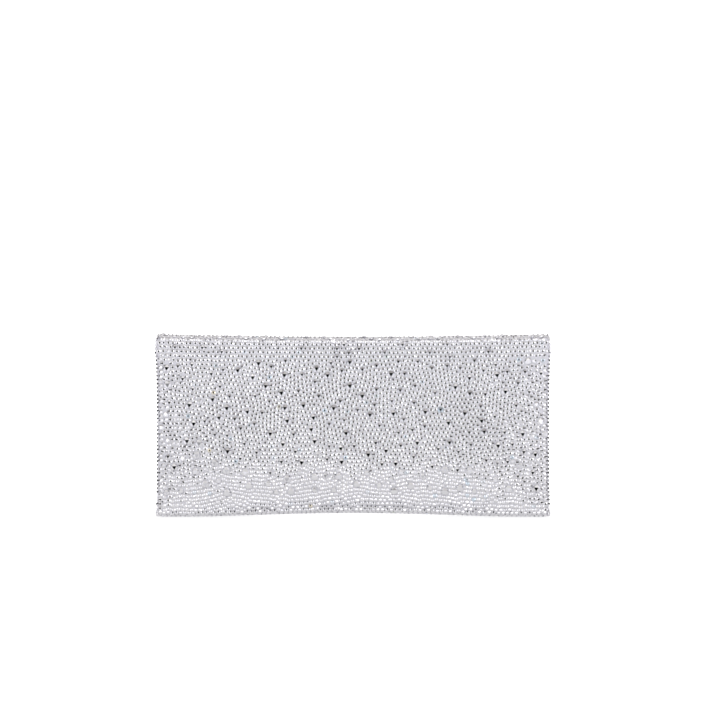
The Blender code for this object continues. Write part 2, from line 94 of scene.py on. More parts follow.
# ---- Stones -------------------------------------------------------------------------------------
SMALL_R = 0.00143  # 2.8 mm stones, set 3.0 mm apart
PITCH = 0.00300
MEDIUM_R = 0.00195
LARGE_R = 0.00258
LARGE_SHARE = 0.42  # of the accents, the rest are medium
RIDER_R = MEDIUM_R * 0.94  # accents in the straight rows
RIDER_LIFT = 0.00045
ACCENT_RISE = 0.60  # an accent's height over its radius
ACCENT_GAP = 0.0064  # at least this, and a share of both radii, between two accents
ACCENT_CLEAR = 0.00012
FOOT_SHARE = 0.12  # the lowest part of a wall has no accents
SMALL_RISE = 0.00088
EDGE_RISE = 0.00085
EDGE_SEAT = 0.00028  # a string lies this much deeper than the other stones
EDGE_LEAN = 0.62
EDGE_R = 0.00122
EDGE_PITCH = 0.00262
EDGE_STRING = 0.0010  # from the wall's side edge in to the middle of these stones
CLOTH_INSET = 0.0006
ROW = 0.00284  # between two straight rows
LOOSE_GAP = 0.0026  # from a straight row to the loose packing
CREST_SHARE = 0.26  # of the stones in the straight rows at the fold's crest, this many are larger
ROW_SHARE = 0.035  # and of those in the other straight rows
LATTICE_SPARE = 0.03  # the lattice starts this much larger than its wall, so no bend bares an edge
BENDS = 7  # slow waves that shear the lattice
BEND_LENGTHS = (0.07, 0.16)
BEND_SHIFT = 0.0042
NEIGHBOURS = 8
ACCENT_GIVE = 0.35  # how far an accent is pushed, where a small stone's share is 1
EASE = 1.03  # early on, stones are kept a little further apart than they end up
CROWDED = 0.00140  # a stone that starts further than this inside a set one is left out
OVERLAP = 0.00055  # and so is one that is still this far inside another at the end


# ---- Small helpers ------------------------------------------------------------------------------
def mix(a, b, t):
    return a + (b - a) * t


def ramp(t):
    """A smooth step: three t squared less two t cubed, held between 0 and 1."""
    t = np.clip(t, 0.0, 1.0)
    return t * t * (3 - 2 * t)


def hexed(text):
    """An sRGB hex colour as linear red, green, blue and alpha."""
    values = [int(text[i : i + 2], 16) / 255 for i in (0, 2, 4)]
    return (*[v / 12.92 if v <= 0.04045 else ((v + 0.055) / 1.055) ** 2.4 for v in values], 1.0)


def unit(v):
    return v / np.maximum(np.linalg.norm(v, axis=-1, keepdims=True), 1e-12)


# ---- The soft shape -----------------------------------------------------------------------------
def crest_draw(z):
    """How far each end of the fold draws in: a smooth step from its centre line up to its crest."""
    return CREST_DRAW * ramp((z - FOLD_Z) / FOLD_R)


def half_width(z):
    """Half the width at a height: a parabola draws in the waist, a bell curve lets out the fold's foot."""
    waist = WAIST * (1 - (2 * z / HEIGHT - 1) ** 2)
    ear = EAR * np.exp(-(((z - EAR_Z) / EAR_H) ** 2))
    return HALF - waist + ear - crest_draw(z)


def settle(u, z):
    """The height once the base arches up by a quartic bump and the top sags by a parabola."""
    arch = np.maximum(0.0, 1 - (u / FLAT_FOOT) ** 2) ** 2 * BASE_ARCH
    sag = np.maximum(0.0, 1 - u * u) * TOP_SAG
    return z + arch * (1 - z / HEIGHT) - sag * z / HEIGHT


def up_wall(z, top):
    """How far up a wall a height is: 0 at the base corner, 1 at its top."""
    return np.clip((z - BASE_CORNER_R) / (top - BASE_CORNER_R), 0.0, 1.0)


def belly(u, z, droop=1.0):
    """A cubic fall to the sides times a sine in height, whose crest sits lower for a small droop."""
    crest = np.maximum(0.0, np.sin(np.pi * up_wall(z, FOLD_Z) ** droop)) ** 1.2
    return np.maximum(0.0, 1 - np.abs(u) ** 3) * crest


def dents(u, share):
    """Slow hollows in a stuffed wall: three slanted sine waves, faded out towards its edges."""
    waves = 0.00030 * np.sin(2 * np.pi * (1.7 * u + 0.9 * share) + 0.6)
    waves += 0.00022 * np.sin(2 * np.pi * (0.8 * u - 1.6 * share) + 2.1)
    waves += 0.00016 * np.sin(2 * np.pi * (2.9 * u + 0.4 * share) + 4.0)
    return waves * (1 - u**4) * np.maximum(0.0, np.sin(np.pi * share)) ** 0.8


def edge_round(u, share):
    """How far a wall's side edge turns away: a parabola over its last few millimetres, none at its ends."""
    near = np.clip(1 - (1 - np.abs(u)) * HALF / EDGE_BAND, 0.0, 1.0)
    return EDGE_ROUND * near**2 * ramp(10 * share) * ramp(10 * (1 - share))


def back_y(u, z):
    share = up_wall(z, FOLD_Z)
    soft = BACK_PUFF * belly(u, z, BACK_DROOP) + dents(u, share) - edge_round(u, share)
    return -mix(BASE_HALF_DEPTH, FOLD_R, share) - soft


def front_y(u, z):
    share = up_wall(z, MOUTH_Z)
    soft = FRONT_PUFF * belly(u, z) - edge_round(u, share)
    return mix(BASE_HALF_DEPTH, MOUTH_Y, share) + soft


def flap_y(u, z):
    """The front wall's face plus a clearance that swells round the snap, joined to the fold's front."""
    swell = 1 - ramp((np.abs(z - SNAP_Z) - SNAP_FLAT) / SNAP_SWELL)
    gap = mix(FLAP_REST_GAP, SNAP_GAP, swell)
    over_front = front_y(u, np.minimum(z, MOUTH_Z)) - FABRIC_D + gap + WALL_T
    return mix(over_front, FOLD_R, ramp((z - MOUTH_Z) / (FOLD_Z - MOUTH_Z)))


def flap_half_width(z, inset):
    """A smooth taper down to a straight lower edge with quarter-round corners."""
    taper = FLAP_TAPER * ramp((FOLD_Z - z) / (FOLD_Z - FLAP_EDGE_Z))
    radius = FLAP_CORNER_R - inset
    up = np.clip((z - FLAP_EDGE_Z - inset) / radius, 0.0, 1.0)
    return HALF - taper - inset - radius * (1 - np.sqrt(1 - (1 - up) ** 2))


# Each wall is a function of a place across it and a length along it. Both are lengths on the flat
# cloth before it is folded: across runs from side to side, along starts where the wall starts.
BASE_L = BASE_HALF_DEPTH - BASE_CORNER_R
CORNER_L = BASE_CORNER_R * math.pi / 2
FOLD_L = FOLD_R * math.pi / 2
BACK_L = BASE_L + CORNER_L + FOLD_Z - BASE_CORNER_R + FOLD_L
FLAP_L = FOLD_L + FOLD_Z - FLAP_EDGE_Z
FRONT_L = BASE_L + CORNER_L + FRONT_TOP_Z - BASE_CORNER_R


def lower_part(along, depth, sign):
    """The base and its corner: a straight run, then a quarter circle. sign is -1 for the back."""
    turn = np.clip((along - BASE_L) / BASE_CORNER_R, 0.0, math.pi / 2)
    radius = BASE_CORNER_R - depth
    y = sign * (np.minimum(along, BASE_L) + radius * np.sin(turn))
    z = BASE_CORNER_R - radius * np.cos(turn)
    return y, z, along - BASE_L - CORNER_L


def fold_part(turn, depth, sign):
    """The top fold round its centre line, from the top at 0 to a side at a quarter turn.

    It is a superellipse, a little squarer than a circle, because the boards end just below it."""
    bulk = np.abs(np.sin(turn)) ** FOLD_SQUARE + np.abs(np.cos(turn)) ** FOLD_SQUARE
    radius = (FOLD_R - depth) * bulk ** (-1 / FOLD_SQUARE)
    return sign * radius * np.sin(turn), FOLD_Z + radius * np.cos(turn)


def placed(across, y, z, level):
    """Squeezes a point's place across into the waist at its level, and settles its height."""
    x = across * half_width(level) / HALF
    return np.stack([x, y, settle(across / HALF, z)], -1)


def back(across, along, depth):
    """Middle of the base, rear base corner, up the back, and the rear half of the top fold."""
    across, along, depth = np.broadcast_arrays(across, along, depth)
    u = across / HALF
    y, z, up = lower_part(along, depth, -1)
    wall = BASE_CORNER_R + np.clip(up, 0.0, FOLD_Z - BASE_CORNER_R)
    y = np.where(up > 0, back_y(u, wall) + depth, y)
    z = np.where(up > 0, wall, z)
    turn = math.pi / 2 - (up - FOLD_Z + BASE_CORNER_R) / FOLD_R
    over_y, over_z = fold_part(turn, depth, -1)
    over = turn < math.pi / 2
    return placed(across, np.where(over, over_y, y), np.where(over, over_z, z), np.where(over, over_z, z))


def flap(across, along, depth):
    """The front half of the top fold, then down the flap. The flap doesn't draw in at the waist."""
    across, along, depth = np.broadcast_arrays(across, along, depth)
    turn = np.clip(along / FOLD_R, 0.0, math.pi / 2)
    y, z = fold_part(turn, depth, 1)
    down = along - FOLD_L
    wall = FOLD_Z - np.maximum(down, 0.0)
    u = across / HALF
    y = np.where(down > 0, flap_y(u, wall) - depth, y)
    z = np.where(down > 0, wall, z)
    return np.stack([across * (1 - crest_draw(z) * 2 / WIDTH), y, settle(u, z)], -1)


def front(across, along, depth):
    """Middle of the base, front base corner, and up the front wall."""
    across, along, depth = np.broadcast_arrays(across, along, depth)
    u = across / HALF
    y, z, up = lower_part(along, depth, 1)
    wall = BASE_CORNER_R + np.maximum(up, 0.0)
    y = np.where(up > 0, front_y(u, wall) - depth, y)
    z = np.where(up > 0, wall, z)
    return placed(across, y, z, z)


def facing(surface, across, along, depth):
    """Outward normals and sideways tangents, from small steps along and into the wall."""
    step = 1e-4
    side = surface(across + step, along, depth) - surface(across - step, along, depth)
    run = surface(across, along + step, depth) - surface(across, along - step, depth)
    normal = unit(np.cross(side, run))
    outward = surface(across, along, depth - step) - surface(across, along, depth)
    normal *= np.sign((normal * outward).sum(-1, keepdims=True))
    return normal, unit(side)


# ---- Meshes ---------------------------------------------------------------------------------------
def add_mesh(name, points, faces, material, uv=None, smooth=True):
    mesh = bpy.data.meshes.new(name)
    mesh.from_pydata(points.reshape(-1, 3).tolist(), [], faces)
    mesh.update()
    if uv is not None:
        layer = mesh.uv_layers.new(name="cloth")
        corner = np.empty(len(mesh.loops), np.int32)
        mesh.loops.foreach_get("vertex_index", corner)
        layer.data.foreach_set("uv", uv.reshape(-1, 2)[corner].astype(np.float32).ravel())
    mesh.polygons.foreach_set("use_smooth", np.full(len(mesh.polygons), smooth))
    mesh.materials.append(material)
    made = bpy.data.objects.new(name, mesh)
    bpy.context.scene.collection.objects.link(made)
    return made


def grid_faces(rows, columns, around=False):
    """Quads of a grid of points; around joins the last column to the first."""
    i, j = np.meshgrid(np.arange(rows - 1), np.arange(columns if around else columns - 1), indexing="ij")
    k = (j + 1) % columns
    quads = np.stack([i * columns + j, i * columns + k, (i + 1) * columns + k, (i + 1) * columns + j], -1)
    return quads.reshape(-1, 4)


def loop_shell(name, points, uv, material, flip=False):
    """A closed skin: rows of points round a flattened loop, with each end row zipped flat shut."""
    rows, count = points.shape[:2]
    quads = grid_faces(rows, count, around=True)
    half = count // 2
    j = np.arange(half - 1)
    first = np.stack([j + 1, j, count - 1 - j, count - 2 - j], -1)
    last = first[:, ::-1] + (rows - 1) * count
    faces = np.concatenate([quads, first, last])
    if flip:
        faces = faces[:, ::-1]
    return add_mesh(name, points, faces.tolist(), material, uv)


def cloth_wall(
    name, surface, lengths, half_at, inset, outer, inner, material, columns=61, curl=5, flip=False
):
    """A wall of cloth between two depths, with its side edges turned over in half circles.

    Each row runs across the outside, round one edge, back across the inside and round the other."""
    radius = (inner - outer) / 2
    middle = (inner + outer) / 2
    share = np.linspace(-1, 1, columns)
    turn = np.linspace(0, math.pi, curl + 2)[1:-1]
    flat = np.concatenate([share, np.full(curl, 1.0), share[::-1], np.full(curl, -1.0)])
    side = np.concatenate([np.zeros(columns), np.sin(turn), np.zeros(columns), -np.sin(turn)]) * radius
    deep = np.concatenate([np.full(columns, -1.0), -np.cos(turn), np.full(columns, 1.0), np.cos(turn)])
    half = half_at(lengths)[:, None] - inset - radius
    across = flat[None, :] * half + side[None, :]
    along = np.repeat(lengths[:, None], across.shape[1], 1)
    depth = middle + deep[None, :] * radius
    points = surface(across, along, np.broadcast_to(depth, across.shape))
    return loop_shell(name, points, np.stack([across, along], -1), material, flip)


def travel(path):
    """The length along a path at each of its points."""
    return np.concatenate([[0], np.cumsum(np.linalg.norm(np.diff(path, axis=0), axis=1))])


def tube(name, path, radius, material, sides=14, beat=0.0):
    """A round cord along a path with domed ends; beat gives its radius a fine rib of that length."""
    path = np.asarray(path, float)
    run = unit(np.gradient(path, axis=0))
    side = unit(np.cross(run, np.array([0.0, 1.0, 0.0])))
    up = np.cross(side, run)
    travelled = travel(path)
    dome = np.linspace(0, math.pi / 2, 4)[:-1]
    before = path[0] - run[0] * radius * np.cos(dome)[:, None]
    after = path[-1] + run[-1] * radius * np.cos(dome[::-1])[:, None]
    centre = np.concatenate([before, path, after])
    girth = np.concatenate([np.sin(dome), np.ones(len(path)), np.sin(dome[::-1])]) * radius
    girth[0] = girth[-1] = radius * 0.02
    spread = lambda a: np.concatenate([np.repeat(a[:1], len(dome), 0), a, np.repeat(a[-1:], len(dome), 0)])
    side, up, travelled = spread(side), spread(up), spread(travelled)
    turn = np.linspace(0, 2 * math.pi, sides, endpoint=False)
    if beat:
        girth = girth * (1 + 0.045 * np.cos(2 * math.pi * travelled / beat))
    around = np.cos(turn)[None, :, None] * side[:, None] + np.sin(turn)[None, :, None] * up[:, None]
    points = centre[:, None] + around * girth[:, None, None]
    rows = len(centre)
    faces = grid_faces(rows, sides, around=True)[:, ::-1].tolist()
    faces.append(list(range(sides)))
    faces.append(list(range((rows - 1) * sides, rows * sides))[::-1])
    uv = np.stack(np.broadcast_arrays(turn[None, :] * radius, travelled[:, None]), -1)
    return add_mesh(name, points, faces, material, uv)


# ---- Cut stones -----------------------------------------------------------------------------------
def ring(count, radius, height, start=0.0):
    turn = np.arange(count) / count * 2 * math.pi + start
    return np.stack([radius * np.cos(turn), radius * np.sin(turn), np.full(count, height)], -1)


def band(low, high, count):
    """Quads between two rings of the same count, by the numbers of their first points."""
    j = np.arange(count)
    k = (j + 1) % count
    return np.stack([low + j, low + k, high + k, high + j], -1).tolist()


def round_stone(table=0.41, girdle=0.40):
    """A flat-back: eight crown facets that rise from a girdle to a small flat table."""
    points = np.concatenate([ring(8, 0.97, 0.0), ring(8, 1.0, girdle), ring(8, table, 1.0)])
    faces = band(0, 8, 8) + band(8, 16, 8) + [list(range(16, 24)), list(range(7, -1, -1))]
    return points, faces


def star_stone(table=0.68):
    """A larger cut: a three-sided table, three broad facets and nine small ones down to the girdle."""
    down = -math.pi / 2
    points = np.concatenate([ring(12, 0.97, 0.0, down), ring(12, 1.0, 0.36, down), ring(3, table, 1.0, down)])
    faces = band(0, 12, 12)
    for k in range(3):
        a, b = 24 + k, 24 + (k + 1) % 3
        g = [12 + (4 * k + i) % 12 for i in range(5)]
        faces += [[g[0], g[1], a], [g[1], g[2], a], [g[2], b, a], [g[2], g[3], b], [g[3], g[4], b]]
    return points, faces + [[24, 25, 26], list(range(11, -1, -1))]


def set_stones(name, surface, across, along, radius, height, cut, seed, depth=FABRIC_D, lean=None):
    """One cut copied to every place: turned at random about the wall's normal and tipped a little."""
    rng = np.random.default_rng(seed)
    n = len(across)
    depth = np.broadcast_to(depth, n)
    seat = surface(across, along, depth)
    normal, side = facing(surface, across, along, depth)
    normal = unit(normal * (LEVELLED, 1.0, 1.0))
    if lean is not None:
        normal = unit(normal + lean)
    uneven = TIP + TIP_ENDS * ramp((np.abs(across) / HALF - 0.5) / 0.4)
    tip = rng.normal(0, 1, (n, 2)) * uneven[:, None]
    other = np.cross(normal, side)
    axis = unit(normal + tip[:, :1] * side + tip[:, 1:] * other)
    spin = rng.uniform(-1, 1, n) * (0.16 if cut is STAR else math.pi)
    side = unit(side - axis * (side * axis).sum(-1, keepdims=True))
    other = np.cross(axis, side)
    first = side * np.cos(spin)[:, None] + other * np.sin(spin)[:, None]
    second = np.cross(axis, first)
    shape, faces = cut
    radius = np.broadcast_to(radius, n)[:, None]
    height = np.broadcast_to(height, n)[:, None]
    points = (
        seat[:, None]
        + first[:, None] * shape[None, :, :1] * radius[:, :, None]
        + second[:, None] * shape[None, :, 1:2] * radius[:, :, None]
        + axis[:, None] * (shape[None, :, 2:] * height[:, :, None] - SINK)
    )
    step = np.arange(n)[:, None] * len(shape)
    groups = {}
    for face in faces:
        groups.setdefault(len(face), []).append(face)
    every = []
    for face_list in groups.values():
        copied = (np.array(face_list)[None] + step[:, :, None]).reshape(-1, len(face_list[0]))
        every += copied.tolist()
    made = add_mesh(name, points, every, CRYSTAL, smooth=False)
    tint = made.data.attributes.new("stone", "FLOAT", "POINT")
    tint.data.foreach_set("value", np.repeat(rng.random(n), len(shape)).astype(np.float32))
    return made


def near_pairs(place, count):
    """For every stone, the numbers of its nearest few, from all the distances at once."""
    square = (place**2).sum(1)
    gap = square[:, None] + square[None, :] - 2 * place @ place.T
    np.fill_diagonal(gap, np.inf)
    return np.argpartition(gap, count, axis=1)[:, :count]


def settle_stones(fixed, width, low, high, accents, seed, allowed=None):
    """Packs small stones round fixed ones and random larger ones, as a hand setter does.

    A hexagonal lattice is sheared by slow crosswise waves, which leave it as dense as it was, then
    every pair closer than it should be is pushed apart, a little at a time."""
    rng = np.random.default_rng(seed)
    rise = PITCH * math.sqrt(3) / 2
    rows = int((high - low + LATTICE_SPARE) / rise)
    columns = int((2 * width + LATTICE_SPARE) / PITCH)
    j, i = np.meshgrid(np.arange(columns), np.arange(rows))
    x = (j + 0.5 * (i % 2) - columns / 2) * PITCH
    y = low - LATTICE_SPARE / 2 + i * rise
    field = np.stack([x.ravel(), y.ravel()], -1).astype(np.float32)
    bend = np.zeros_like(field)
    for _ in range(BENDS):
        wave = rng.normal(0, 1, 2)
        wave *= 2 * math.pi / rng.uniform(*BEND_LENGTHS) / np.linalg.norm(wave)
        push = np.array([-wave[1], wave[0]]) / np.linalg.norm(wave)
        bend += np.sin(field @ wave + rng.uniform(0, 6.28))[:, None] * push * BEND_SHIFT
    field += bend
    inside = (np.abs(field[:, 0]) < width + 0.0004) & (field[:, 1] > low) & (field[:, 1] < high)
    if allowed is not None:
        inside &= allowed(field[:, 0], field[:, 1])
    field = field[inside]
    foot = mix(low, high, FOOT_SHARE)
    big = []
    while len(big) < accents:
        spot = np.array([rng.uniform(-width, width), rng.uniform(foot, high)])
        if allowed is not None and not allowed(spot[:1], spot[1:])[0]:
            continue
        r = LARGE_R if rng.random() < LARGE_SHARE else MEDIUM_R
        if all(np.hypot(*(spot - b[:2])) > ACCENT_GAP + (b[2] + r) * 0.4 for b in big):
            big.append((*spot, r))
    big = np.array(big)
    spaced = PITCH / 2
    stand = np.concatenate([fixed, big[:, :2]])
    stand_r = np.concatenate([np.full(len(fixed), spaced), big[:, 2] + ACCENT_CLEAR])
    gap = np.linalg.norm(field[:, None] - stand[None], axis=2) - stand_r[None] - spaced
    field = field[gap.min(1) > -CROWDED]
    place = np.concatenate([fixed, big[:, :2], field]).astype(np.float32)
    radius = np.concatenate([stand_r, np.full(len(field), spaced)]).astype(np.float32)
    free = np.concatenate([np.zeros(len(fixed)), np.full(len(big), ACCENT_GIVE), np.ones(len(field))])
    for turn in range(RELAX):
        if turn % 20 == 0:
            near = near_pairs(place, NEIGHBOURS)
        away = place[:, None] - place[near]
        distance = np.maximum(np.linalg.norm(away, axis=2), 1e-6)
        touch = (radius[:, None] + radius[near]) * (EASE if turn < RELAX * 0.7 else 1.0)
        overlap = np.maximum(touch - distance, 0.0)
        shift = (away / distance[..., None] * overlap[..., None]).sum(1) * 0.30
        place = place + (shift * free[:, None]).astype(np.float32)
        keep_x = np.clip(place[:, 0], -width, width)
        keep_y = np.clip(place[:, 1], low, high)
        moved = free > 0
        place[moved] = np.stack([keep_x, keep_y], -1)[moved]
    near = near_pairs(place, NEIGHBOURS)
    distance = np.linalg.norm(place[:, None] - place[near], axis=2)
    later = near < np.arange(len(place))[:, None]
    crowded = (radius[:, None] + radius[near] - distance > OVERLAP) & later
    good = ~crowded.any(1) | (free < 1)
    if allowed is not None:
        good &= allowed(place[:, 0], place[:, 1]) | (free < 1)
    kept = place[good]
    sizes = radius[good]
    start = len(fixed)
    is_big = np.zeros(len(place), bool)
    is_big[start : start + len(big)] = True
    is_big = is_big[good]
    own = np.arange(len(place))[good] >= start
    small = own & ~is_big
    large = is_big & (sizes > (MEDIUM_R + LARGE_R) / 2)
    medium = is_big & ~large
    return kept[small], kept[medium], kept[large]


def straight_rows(lengths, width, seed, wobble=0.00018):
    """Rows of stones side by side, each row started half a stone over from the last."""
    rng = np.random.default_rng(seed)
    rows = []
    for number, along in enumerate(lengths):
        count = int(2 * width / PITCH)
        x = np.linspace(-width, width, count + 1)
        if number % 2:
            x = (x[1:] + x[:-1]) / 2
        rows.append(np.stack([x, np.full(len(x), along)], -1))
    rows = np.concatenate(rows)
    return rows + rng.normal(0, wobble, rows.shape)


SINK = 0.00006  # the glue line: a stone's back sits this far into the satin
TIP = 0.028  # how unevenly the stones lie, in radians
TIP_ENDS = 0.020  # and how much more so towards the two ends of a wall
LEVELLED = 0.6  # pressing the stones level takes out part of the cloth's sideways slope
RELAX = 160
ROUND = round_stone()
BOLD = round_stone(0.58, 0.46)
STAR = star_stone()


# ---- Finishes -------------------------------------------------------------------------------------
def node(tree, kind, inputs=None, **settings):
    """Adds one shader node. inputs maps a socket to a value, or to (node, socket name) for a link."""
    made = tree.nodes.new(kind)
    for key, value in settings.items():
        setattr(made, key, value)
    for key, value in (inputs or {}).items():
        if isinstance(value, tuple) and isinstance(value[0], bpy.types.Node):
            tree.links.new(value[0].outputs[value[1]], made.inputs[key])
        else:
            made.inputs[key].default_value = value
    return made


def finish_of(name, **shader):
    """A new material with a Principled shader; words in shader are sockets with _ for a space."""
    made = bpy.data.materials.new(name)
    made.use_nodes = True
    tree = made.node_tree
    surface = tree.nodes["Principled BSDF"]
    for key, value in shader.items():
        surface.inputs[key.replace("_", " ")].default_value = value
    return made, tree, surface


def stops(ramp_node, *pairs):
    """Sets a colour ramp's stops from (place, hex colour) pairs."""
    band_of = ramp_node.color_ramp
    while len(band_of.elements) > 1:
        band_of.elements.remove(band_of.elements[-1])
    band_of.elements[0].position = pairs[0][0]
    band_of.elements[0].color = hexed(pairs[0][1])
    for place, colour in pairs[1:]:
        band_of.elements.new(place).color = hexed(colour)
    return ramp_node


def wire(tree, surface, colour=None, rough=None, height=None):
    """Feeds a finish's colour, roughness and raised detail to its shader."""
    if colour:
        tree.links.new(colour.outputs["Color"], surface.inputs["Base Color"])
    if rough:
        tree.links.new(rough.outputs["Result"], surface.inputs["Roughness"])
    if height:
        tree.links.new(height.outputs["Normal"], surface.inputs["Normal"])


# Each stone's own shade of clear: a few in a hundred are bluish or a little yellow.
STONE_TINTS = (
    (0.0, "E2E1E5"),
    (0.35, "EBEAED"),
    (0.70, "E5E4E8"),
    (0.985, "EDECEF"),
    (0.993, "DDE2E9"),
    (0.998, "CEDBE6"),
    (1.0, "E8DCC6"),
)


def foiled_crystal():
    """Foiled lead crystal: machine-cut glass over a silver foil, so it flashes back like a small mirror.

    Each stone has its own faint tint, and the glass is a little streaky under the polish."""
    made, tree, surface = finish_of("foiled_lead_crystal", Metallic=1.0, Roughness=0.05)
    own = node(tree, "ShaderNodeAttribute", attribute_name="stone")
    tint = stops(node(tree, "ShaderNodeValToRGB", {"Fac": (own, "Fac")}), *STONE_TINTS)
    place = node(tree, "ShaderNodeTexCoord")
    streak = node(tree, "ShaderNodeTexNoise", {"Vector": (place, "Object"), "Scale": 900.0, "Detail": 2.0})
    polish = node(tree, "ShaderNodeMapRange", {"Value": (streak, "Fac"), "To Min": 0.01, "To Max": 0.06})
    wire(tree, surface, tint, polish)
    return made


def woven(name, light, dark, roughness, sheen, thread, slubs=0.35):
    """Satin weave: long floats of bright thread, tied down by the thread that crosses them.

    thread is the float spacing in metres, drawn wide enough to show; slubs are the thicker threads."""
    made, tree, surface = finish_of(name, Roughness=roughness, Sheen_Weight=sheen, Sheen_Roughness=0.35)
    cloth = node(tree, "ShaderNodeUVMap", uv_map="cloth")
    rate = 1 / thread / 6.2832
    floats = {"Vector": (cloth, "UV"), "Scale": rate * 2, "Distortion": 0.6, "Detail": 1.0}
    ties = {"Vector": (cloth, "UV"), "Scale": rate, "Distortion": 0.4, "Detail": 1.0}
    warp = node(tree, "ShaderNodeTexWave", floats, bands_direction="X")
    weft = node(tree, "ShaderNodeTexWave", ties, bands_direction="Y")
    both = node(tree, "ShaderNodeMath", {0: (warp, "Fac"), 1: (weft, "Fac")}, operation="MULTIPLY")
    place = node(tree, "ShaderNodeTexCoord")
    soft = node(tree, "ShaderNodeTexNoise", {"Vector": (place, "Object"), "Scale": 95.0, "Detail": 3.0})
    cloud = node(tree, "ShaderNodeMapRange", {"Value": (soft, "Fac"), "To Min": 0.32, "To Max": 0.58})
    shade = node(tree, "ShaderNodeMath", {0: (both, "Value"), 1: slubs}, operation="MULTIPLY")
    total = node(tree, "ShaderNodeMath", {0: (shade, "Value"), 1: (cloud, "Result")}, operation="ADD")
    colour = stops(
        node(tree, "ShaderNodeValToRGB", {"Fac": (total, "Value")}), (0.25, dark), (0.85, light)
    )
    height = node(tree, "ShaderNodeBump", {"Height": (both, "Value"), "Strength": 0.35, "Distance": 0.00008})
    worn = {"Value": (soft, "Fac"), "To Min": roughness - 0.06, "To Max": roughness + 0.10}
    wire(tree, surface, colour, node(tree, "ShaderNodeMapRange", worn), height)
    return made


def plated_steel():
    """Nickel plate on pressed steel: warm grey mirror with faint turning marks from the press."""
    made, tree, surface = finish_of("nickel_plated_steel", Metallic=1.0, Roughness=0.22)
    place = node(tree, "ShaderNodeTexCoord")
    centred = node(tree, "ShaderNodeMapping", {"Vector": (place, "Object"), "Location": (0.0, 0.0, -SNAP_Z)})
    marks = {"Vector": (centred, "Vector"), "Scale": 900.0, "Distortion": 0.8}
    turning = node(tree, "ShaderNodeTexWave", marks, wave_type="RINGS", rings_direction="SPHERICAL")
    stain = node(tree, "ShaderNodeTexNoise", {"Vector": (place, "Object"), "Scale": 320.0, "Detail": 4.0})
    colour = stops(
        node(tree, "ShaderNodeValToRGB", {"Fac": (stain, "Fac")}), (0.3, "C4C0B8"), (0.75, "DAD7D0")
    )
    height = node(tree, "ShaderNodeBump", {"Height": (turning, "Fac"), "Strength": 0.12, "Distance": 0.00004})
    polish = node(tree, "ShaderNodeMapRange", {"Value": (stain, "Fac"), "To Min": 0.14, "To Max": 0.34})
    wire(tree, surface, colour, polish, height)
    return made


def grained(name, light, dark, roughness, scale, bump):
    """Pressed fibre or fired ceramic: a fine even grain in two shades, slightly raised."""
    made, tree, surface = finish_of(name, Roughness=roughness)
    place = node(tree, "ShaderNodeTexCoord")
    grain = node(tree, "ShaderNodeTexNoise", {"Vector": (place, "Object"), "Scale": scale, "Detail": 6.0})
    colour = stops(node(tree, "ShaderNodeValToRGB", {"Fac": (grain, "Fac")}), (0.3, dark), (0.7, light))
    height = node(tree, "ShaderNodeBump", {"Height": (grain, "Fac"), "Strength": 0.4, "Distance": bump})
    wire(tree, surface, colour, height=height)
    return made


CRYSTAL = foiled_crystal()
SATIN = woven("duchess_satin", "E6E5EB", "CFCED6", 0.42, 0.25, 0.00034)
CORD_SATIN = woven("satin_cord", "E0DFE6", "C6C5CE", 0.38, 0.25, 0.00040)
LINING = woven("lining_satin", "D9D9DE", "BFC0C8", 0.48, 0.20, 0.00030)
THREAD = woven("polyester_thread", "E6E6EE", "B9B9C6", 0.50, 0.10, 0.00012)
NICKEL = plated_steel()
FERRITE = grained("fired_ferrite", "4A4A4E", "2E2E32", 0.55, 1400.0, 0.00005)
BOARD = grained("pressed_board", "8E7A63", "6E5B47", 0.85, 700.0, 0.00010)


# ---- Walls of satin and lining ----------------------------------------------------------------------
CORNER_END = BASE_L + CORNER_L
WALL_END = BACK_L - FOLD_L
HAIR = 0.0001  # what keeps two cloths that touch from sharing a face
MOUTH_TUCK = 0.0009  # the front's cloths run this far up into the mouth's binding
FLAP_LINING_INSET = 0.0026

base_lengths = [np.linspace(HAIR, BASE_L, 4)[:-1], np.linspace(BASE_L, CORNER_END, 12)[:-1]]
upper_lengths = [np.linspace(CORNER_END, WALL_END, 64)[:-1], np.linspace(WALL_END, BACK_L - HAIR, 18)]
back_lengths = np.concatenate(base_lengths + upper_lengths)
front_lengths = np.concatenate(base_lengths + [np.linspace(CORNER_END, FRONT_L + MOUTH_TUCK, 56)])


def full(lengths):
    """Half the purse's width at places along a wall that is as wide all the way."""
    return np.full(len(lengths), HALF)


def flap_lengths(inset):
    """The fold, the flap's straight sides, then rows closer and closer down its round corners."""
    radius = FLAP_CORNER_R - inset
    turn = np.linspace(0, math.pi / 2, 16)
    corner = FLAP_L - inset - radius * (1 - np.sin(turn))
    over = np.linspace(HAIR, FOLD_L, 18)[:-1]
    down = np.linspace(FOLD_L, corner[0], 44)[:-1]
    return np.concatenate([over, down, corner])


def flap_half(inset):
    """Half the flap's width at places along it."""
    return lambda lengths: flap_half_width(np.minimum(FOLD_Z, FOLD_Z + FOLD_L - lengths), inset)


def satin(name, surface, lengths, half_at, inset, flip=False):
    """A wall's outer cloth, with its board's room behind it."""
    return cloth_wall(name, surface, lengths, half_at, inset, FABRIC_D, LINING_D - HAIR, SATIN, flip=flip)


def lining(name, surface, lengths, half_at, inset, flip=False):
    """A wall's inner cloth."""
    return cloth_wall(name, surface, lengths, half_at, inset, LINING_D, WALL_T, LINING, curl=3, flip=flip)


